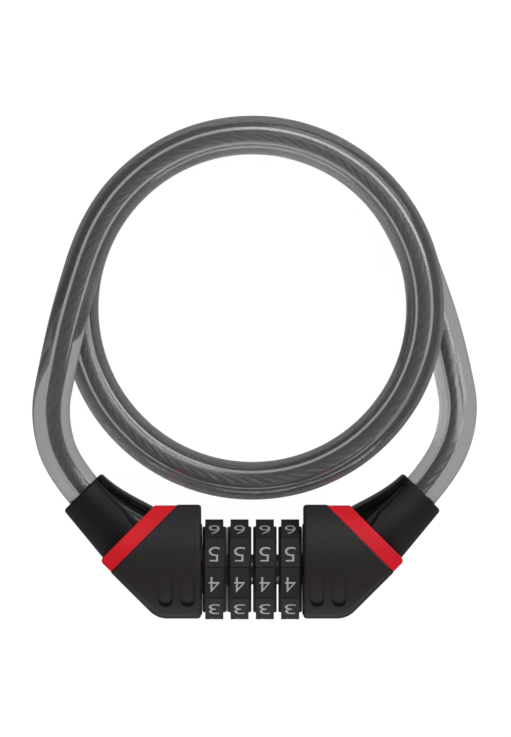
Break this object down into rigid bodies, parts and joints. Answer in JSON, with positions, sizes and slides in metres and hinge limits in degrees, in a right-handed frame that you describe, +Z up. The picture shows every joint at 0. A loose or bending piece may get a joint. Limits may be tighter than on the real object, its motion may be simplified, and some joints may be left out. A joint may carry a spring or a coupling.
{
  "type": "combination cable lock",
  "caption": "Combination cable lock: number dials between two slanted housings with collars and sleeves, and a sheathed steel cable wound in a loop.",
  "frame": {"origin": "on the table under the middle of the lock, measured without the cable", "axes": "+X along the dial axis from the lock housing to the plug, +Y towards the wound cable, +Z up out of the face with the numbers"},
  "size_m": [0.118, 0.1333, 0.0304],
  "materials": {
    "housing": "fine matt texture, black",
    "dial": "satin black with pale printed numerals",
    "collar": "satin red",
    "sleeve": "satin black, glossy in the scoop",
    "spacer": "black",
    "code_ring": "cast and tumbled",
    "steel": "turned and plated",
    "spring_steel": "blued",
    "cable": "smoke-clear glossy sheath over a twisted steel rope"
  },
  "bodies": {
    "lock_body": {"lock_housing": "housing", "lock_collar": "collar", "lock_sleeve": "sleeve", "spindle": "steel", "retaining_ring": "spring_steel", "dial_spacer": "spacer", "click_spring": "spring_steel", "spindle_pin": "steel", "lock_ferrule": "steel", "lock_ferrule_pin": "steel", "cable_coil": "cable", "cable_arm_left": "cable"},
    "dial_1": {"dial_ring_1": "dial", "code_ring_1": "code_ring"},
    "dial_2": {"dial_ring_2": "dial", "code_ring_2": "code_ring"},
    "dial_3": {"dial_ring_3": "dial", "code_ring_3": "code_ring"},
    "dial_4": {"dial_ring_4": "dial", "code_ring_4": "code_ring"},
    "plug": {"plug_housing": "housing", "plug_collar": "collar", "plug_sleeve": "sleeve", "plug_shaft": "steel", "shaft_pin": "steel", "plug_ferrule": "steel", "plug_ferrule_pin": "steel", "cable_arm_right": "cable"}
  },
  "joints": [
    {"name": "dial_1_turn", "type": "hinge", "parent": "lock_body", "child": "dial_1", "pos_m": [-0.01005, -0.00595, 0.0143], "axis": [1, 0, 0], "continuous": true},
    {"name": "dial_2_turn", "type": "hinge", "parent": "lock_body", "child": "dial_2", "pos_m": [-0.00335, -0.00595, 0.0143], "axis": [1, 0, 0], "continuous": true},
    {"name": "dial_3_turn", "type": "hinge", "parent": "lock_body", "child": "dial_3", "pos_m": [0.00335, -0.00595, 0.0143], "axis": [1, 0, 0], "continuous": true},
    {"name": "dial_4_turn", "type": "hinge", "parent": "lock_body", "child": "dial_4", "pos_m": [0.01005, -0.00595, 0.0143], "axis": [1, 0, 0], "continuous": true},
    {"name": "plug_slide", "type": "slide", "parent": "lock_body", "child": "plug", "axis": [1, 0, 0], "range_m": [0, 0.03]}
  ]
}
